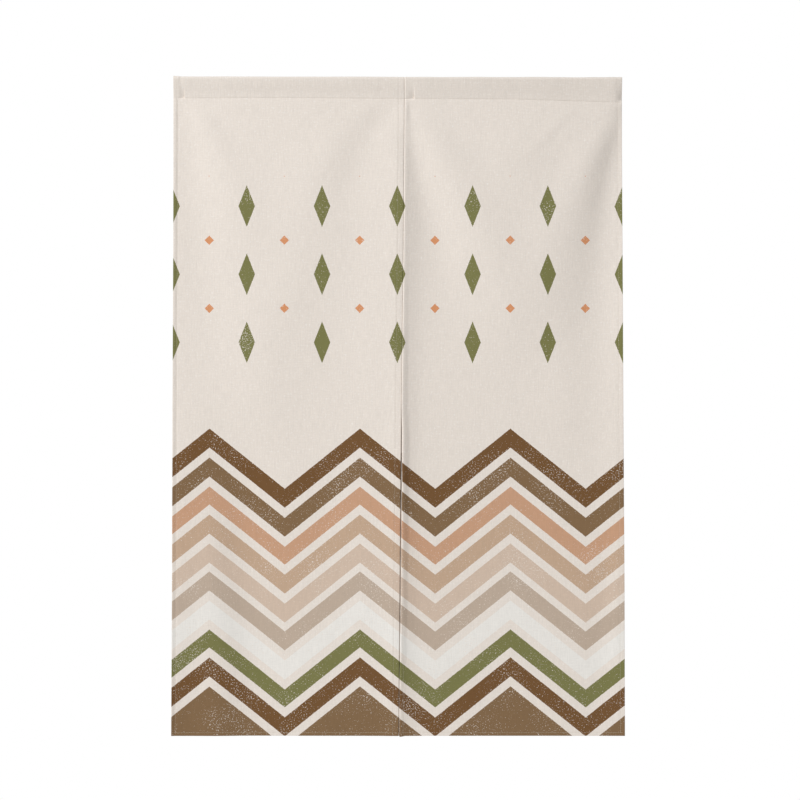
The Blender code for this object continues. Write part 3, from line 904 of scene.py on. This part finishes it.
def band_nodes(tree, across, along):
    """Colour and coverage of the zigzag bands."""
    shifted = add_node(tree, MATH, {"operation": "ADD"}, {0: across, 1: ZIGZAG_SHIFT})
    wave = add_node(tree, MATH, {"operation": "PINGPONG"}, {0: shifted, 1: ZIGZAG_PERIOD / 2})
    below = add_node(tree, MATH, {"operation": "SUBTRACT"}, {0: -ZIGZAG_TOP, 1: along})
    depth = add_node(tree, MATH, {"operation": "MULTIPLY_ADD"}, {0: wave, 1: -ZIGZAG_SLOPE, 2: below})
    share = add_node(tree, MATH, {"operation": "DIVIDE"}, {0: depth, 1: BAND_PITCH * len(BANDS)})
    ramp = add_node(tree, "ShaderNodeValToRGB", inputs={0: share})
    ramp.color_ramp.interpolation = "CONSTANT"
    stops = ramp.color_ramp.elements
    stops[0].color = linear(BANDS[0])
    stops[1].position = 1 / len(BANDS)
    stops[1].color = linear(BANDS[1])
    for i, colour in enumerate(BANDS[2:], start=2):
        stops.new(i / len(BANDS)).color = linear(colour)
    for i, colour in enumerate(BANDS[:-1]):
        stops.new((i + BAND_WIDTH / BAND_PITCH) / len(BANDS)).color = (*linear(colour)[:3], 0.0)
    started = add_node(tree, MATH, {"operation": "GREATER_THAN"}, {0: depth, 1: 0.0})
    cover = add_node(tree, MATH, {"operation": "MULTIPLY"}, {0: started, 1: ramp.outputs["Alpha"]})
    return ramp, cover


def lozenge_nodes(tree, across, along, row):
    """Coverage of one family of staggered lozenges."""
    moved_x = add_node(tree, MATH, {"operation": "ADD"}, {0: across, 1: row["x"]})
    moved_y = add_node(tree, MATH, {"operation": "ADD"}, {0: along, 1: row["down"]})
    x = add_node(tree, MATH, {"operation": "PINGPONG"}, {0: moved_x, 1: LOZENGE_PITCH / 2})
    y = add_node(tree, MATH, {"operation": "PINGPONG"}, {0: moved_y, 1: LOZENGE_DROP / 2})
    share_x = add_node(tree, MATH, {"operation": "DIVIDE"}, {0: x, 1: row["half"]})
    reach = add_node(tree, MATH, {"operation": "MULTIPLY_ADD"}, {0: y, 1: 1 / row["tall"], 2: share_x})
    inside = add_node(tree, MATH, {"operation": "LESS_THAN"}, {0: reach, 1: 1.0})
    low = add_node(tree, MATH, {"operation": "GREATER_THAN"}, {0: along, 1: -LOZENGE_FOOT})
    high = add_node(tree, MATH, {"operation": "LESS_THAN"}, {0: along, 1: -LOZENGE_TOP})
    zone = add_node(tree, MATH, {"operation": "MULTIPLY"}, {0: low, 1: high})
    return add_node(tree, MATH, {"operation": "MULTIPLY"}, {0: inside, 1: zone})


print(len(BANDS), "bands,", round(BAND_WIDTH * np.cos(np.arctan(ZIGZAG_SLOPE)) * 1000, 1), "mm wide across")

# %% [markdown]
# ## Face and wrong side
#
# Pigment is pressed on the finished weave, so it covers the yarn tops and leaves flecks bare where
# the yarns dip, more in some places than in others. On the wrong side it only shows through, so the
# same tree is made twice with another strength. Roughness is 0.9, usual for undyed cloth, and the
# index of refraction is 1.5, near that of cellulose.

# %% Cloth materials
CLOTH_SURFACE = {
    "Roughness": 0.9, "IOR": 1.5, "Specular IOR Level": 0.3, "Sheen Weight": 0.08, "Sheen Roughness": 0.5,
}
# How far the edges of the print wander, and over what size.
EDGE_WANDER = 0.0012
WANDER_SIZE = 0.0022
# Worn specks of the print: their size, that of the worn places, the limit at which the fine noise
# is cut off, how far the broad noise moves it, and the share of the print lost in a speck.
SPECK_SIZE = 0.0026
WORN_SIZE = 0.085
SPECK_LIMIT = 0.80
LIMIT_SWING = -0.30
SPECK_DEPTH = 0.85
# Flecks show where their noise passes the first of these limits, in full past the second.
TUFTS = {"From Min": 0.56, "From Max": 0.72, "To Max": 0.75}
# Plain cloth is darkened to this share, and slubs of the warp and the weft lighten it again.
PLAIN_TONE = 0.845
WARP_TONE = 0.18
WEFT_TONE = 0.13


def cloth_material(name, print_strength):
    """Plain-weave cotton and linen with a pigment print."""
    material, shader = add_material(name, CLOTH_SURFACE)
    tree = material.node_tree
    flat, (warp, weft, flecks), relief = weave_nodes(tree)

    # The edges of the print wander a little, yarn by yarn.
    wander = add_node(tree, "ShaderNodeTexNoise", inputs={
        "Vector": flat, "Scale": 1 / WANDER_SIZE, "Detail": 1.0})
    moved = add_node(tree, "ShaderNodeVectorMath", {"operation": "MULTIPLY_ADD"},
                     {0: wander.outputs["Color"], 1: (EDGE_WANDER,) * 3, 2: flat})
    place = add_node(tree, "ShaderNodeSeparateXYZ", inputs={0: moved})

    # Worn specks: a fine noise cut off at a limit that a broad noise moves up and down.
    specks = add_node(tree, "ShaderNodeTexNoise", inputs={
        "Vector": flat, "Scale": 1 / SPECK_SIZE, "Detail": 2.0, "Roughness": 0.7})
    worn = add_node(tree, "ShaderNodeTexNoise", inputs={
        "Vector": flat, "Scale": 1 / WORN_SIZE, "Detail": 2.0})
    limit = add_node(tree, MATH, {"operation": "MULTIPLY_ADD"}, {0: worn, 1: LIMIT_SWING, 2: SPECK_LIMIT})
    kept = add_node(tree, MATH, {"operation": "LESS_THAN"}, {0: specks, 1: limit})
    strength = add_node(tree, MATH, {"operation": "MULTIPLY_ADD"},
                        {0: kept, 1: SPECK_DEPTH * print_strength, 2: (1.0 - SPECK_DEPTH) * print_strength})

    # Bare cloth with its paler flecks, then one layer for each part of the print.
    tufts = add_node(tree, "ShaderNodeMapRange", inputs={"Value": flecks, **TUFTS})
    colour = add_node(tree, "ShaderNodeMix", {"data_type": "RGBA"},
                      {0: tufts, 6: linear(CREAM), 7: linear(PALE_FIBRE)}).outputs[2]
    layers = [band_nodes(tree, place.outputs["X"], place.outputs["Y"])]
    for row in LOZENGES:
        cover = lozenge_nodes(tree, place.outputs["X"], place.outputs["Y"], row)
        layers.append((linear(row["colour"]), cover))
    for ink, cover in layers:
        share = add_node(tree, MATH, {"operation": "MULTIPLY"}, {0: cover, 1: strength})
        colour = add_node(tree, "ShaderNodeMix", {"data_type": "RGBA"},
                          {0: share, 6: colour, 7: ink}).outputs[2]

    # Slubs darken and lighten the yarns.
    tone = add_node(tree, MATH, {"operation": "MULTIPLY_ADD"}, {0: warp, 1: WARP_TONE, 2: PLAIN_TONE})
    tone = add_node(tree, MATH, {"operation": "MULTIPLY_ADD"}, {0: weft, 1: WEFT_TONE, 2: tone})
    toned = add_node(tree, "ShaderNodeVectorMath", {"operation": "SCALE"}, {0: colour, "Scale": tone})
    bump = add_node(tree, "ShaderNodeBump", inputs={"Strength": 0.5, "Distance": 0.00025, "Height": relief})
    tree.links.new(toned.outputs[0], shader.inputs["Base Color"])
    tree.links.new(bump.outputs[0], shader.inputs["Normal"])
    return material


face = cloth_material("printed_plain_weave_face", 1.0)
wrong_side = cloth_material("printed_plain_weave_wrong_side", 0.30)
for cloth in cloths.values():
    cloth.data.materials.append(face)
    cloth.data.materials.append(wrong_side)
print("materials:", face.name, "and", wrong_side.name)

# %% [markdown]
# ## Stitches
#
# A sewing machine leaves a dash of thread about 2.6 mm long between two holes, on both sides of the
# cloth. One small rounded dash is made and repeated. A ray cast from the front or the back finds the
# cloth under each stitch, so every dash lies on the surface whatever the folds do.

# %% Stitch tools
STITCH = 0.0026
STITCH_PITCH = 0.0031
THREAD = 0.00034
# A stitch's middle lies this share of the thread's thickness above the cloth, so it is part sunk.
STITCH_LIFT = 0.2
CAST_FROM = 0.10


def surface_tree(cloth):
    """A search tree of the finished cloth, thickness included."""
    return BVHTree.FromObject(cloth, bpy.context.evaluated_depsgraph_get())


def dash_mesh():
    """One stitch along X: a rounded dash of thread."""
    bm = bmesh.new()
    turn = Matrix.Rotation(np.radians(90.0), 4, "Y")
    bmesh.ops.create_uvsphere(bm, u_segments=5, v_segments=4, radius=0.5, matrix=turn)
    bmesh.ops.scale(bm, vec=(STITCH, THREAD, THREAD), verts=bm.verts)
    return finished_mesh(bm, "dash")


def sew(bm, dash, tree, run, behind):
    """Adds stitches to a bmesh along a run of (x, down) places, on the front or behind."""
    run = np.asarray(run)
    gone = np.concatenate([[0.0], np.cumsum(np.hypot(*np.diff(run, axis=0).T))])
    from_side = 1.0 if behind else -1.0
    sewn = 0
    for start in np.arange(0.0, gone[-1] - STITCH, STITCH_PITCH):
        ends = [[np.interp(at, gone, places) for places in run.T] for at in (start, start + STITCH)]
        hits = [tree.ray_cast(Vector((x, from_side * CAST_FROM, -down)), Vector((0.0, -from_side, 0.0)))
                for x, down in ends]
        if any(hit[0] is None for hit in hits):
            continue
        along = (hits[1][0] - hits[0][0]).normalized()
        out = (hits[0][1] + hits[1][1]).normalized()
        side = out.cross(along).normalized()
        middle = (hits[0][0] + hits[1][0]) / 2 + out * THREAD * STITCH_LIFT
        first = len(bm.verts)
        bm.from_mesh(dash)
        bm.verts.ensure_lookup_table()
        place = Matrix((along, side, out)).transposed().to_4x4()
        place.translation = middle
        bmesh.ops.transform(bm, matrix=place, verts=bm.verts[first:])
        sewn += 1
    return sewn


dash = dash_mesh()
print("one stitch has", len(dash.polygons), "faces")

# %% [markdown]
# The thread is spun polyester or cotton, matched to the cloth and slightly glossier. Its twist is far
# finer than a pixel, so it shows only as a soft banding along the dash.

# %% Thread material
BANDING_SIZE = 0.0009

thread, thread_shader = add_material("spun_sewing_thread", {"Roughness": 0.6})
thread_tree = thread.node_tree
thread_place = add_node(thread_tree, "ShaderNodeTexCoord")
thread_noise = add_node(thread_tree, "ShaderNodeTexNoise", inputs={
    "Vector": thread_place.outputs["Object"], "Scale": 1 / BANDING_SIZE, "Detail": 1.0})
thread_ramp = add_node(thread_tree, "ShaderNodeValToRGB", inputs={0: thread_noise})
thread_ramp.color_ramp.elements[0].color = linear("#CFC3B4")
thread_ramp.color_ramp.elements[1].color = linear("#E9E1D6")
thread_bump = add_node(thread_tree, "ShaderNodeBump", inputs={
    "Strength": 0.3, "Distance": 0.0001, "Height": thread_noise})
thread_tree.links.new(thread_ramp.outputs[0], thread_shader.inputs["Base Color"])
thread_tree.links.new(thread_bump.outputs[0], thread_shader.inputs["Normal"])
print("thread material:", thread.name)

# %% [markdown]
# The rows across close the sleeve and hold the bottom hem. The rows down hold the side hems. In
# front, the right cloth's inner row shows only in the slit, because the left cloth covers it above.

# %% Sew the rows
# A row across ends this far from an edge, or a little further where the left cloth laps over it.
END_IN = 0.0015
LAPPED_IN = 0.0008
ABOVE_CREASE = 0.0006
# A row down a side starts this far below the sleeve's stitches and ends this far above the foot.
SIDE_BELOW_SLEEVE = 0.002
SIDE_ABOVE_FOOT = 0.003
SEEN_FROM = 0.70
# How many places describe a row across and a row down.
CROSS_PLACES = 60
SIDE_PLACES = 120


def heading_run(side):
    """The row that closes the sleeve, just above the crease."""
    edge, meeting = outline(side, 0.0), outline("meeting", 0.0)
    ends = (edge + END_IN, meeting - END_IN) if side == "left" else (meeting + END_IN, edge - END_IN)
    return [(x, stitch_line(side, x) - ABOVE_CREASE) for x in np.linspace(*ends, CROSS_PLACES)]


def foot_run(side):
    """The row along the bottom hem."""
    edge, meeting = outline(side, DROP), outline("meeting", DROP)
    inner = meeting - END_IN if side == "left" else meeting + END_IN + LAPPED_IN
    ends = (edge + END_IN, inner) if side == "left" else (inner, edge - END_IN)
    return [(x, DROP - FOOT_STITCHES) for x in np.linspace(*ends, CROSS_PLACES)]


def side_run(row, top, foot):
    """A row down a side hem."""
    return [(float(side_stitch_x(row, down)), down) for down in np.linspace(top, foot, SIDE_PLACES)]


def stitch_piece(name, side, runs):
    """One piece of stitches, sewn on both sides of a cloth."""
    bm = bmesh.new()
    tree = surface_tree(cloths[side])
    count = sum(sew(bm, dash, tree, run, behind) for run, behind in runs)
    mesh = finished_mesh(bm, name)
    mesh.shade_smooth()
    mesh.materials.append(thread)
    print(name, count, "stitches")
    return add_object(name, mesh)


stitches = {"left": [], "right": []}
for side in HEADINGS:
    outer, inner = SIDE_STITCHES[side]
    top = heading_mean(side) + SIDE_BELOW_SLEEVE
    foot = DROP - SIDE_ABOVE_FOOT
    inner_top = top if side == "left" else SEEN_FROM
    crosswise = [(run, behind) for run in (heading_run(side), foot_run(side)) for behind in (False, True)]
    lengthwise = [(side_run(outer, top, foot), False), (side_run(outer, top, foot), True),
                  (side_run(inner, inner_top, foot), False), (side_run(inner, top, foot), True)]
    stitches[side].append(stitch_piece(side + "_cross_stitches", side, crosswise))
    stitches[side].append(stitch_piece(side + "_side_stitches", side, lengthwise))

# %% [markdown]
#
# Each cloth stands for a panel and its heading, so those solids are hidden and the cloth rides on the
# same body. Cloth hardly stretches or shrinks when it hangs, so its area stays that of its flat cut.

# %% Hide the solids and attach the cloths and stitches
for side in HEADINGS:
    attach(cloths[side], "root")
    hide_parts(side + "_panel", side + "_heading")
    for piece in stitches[side]:
        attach(piece, "root")
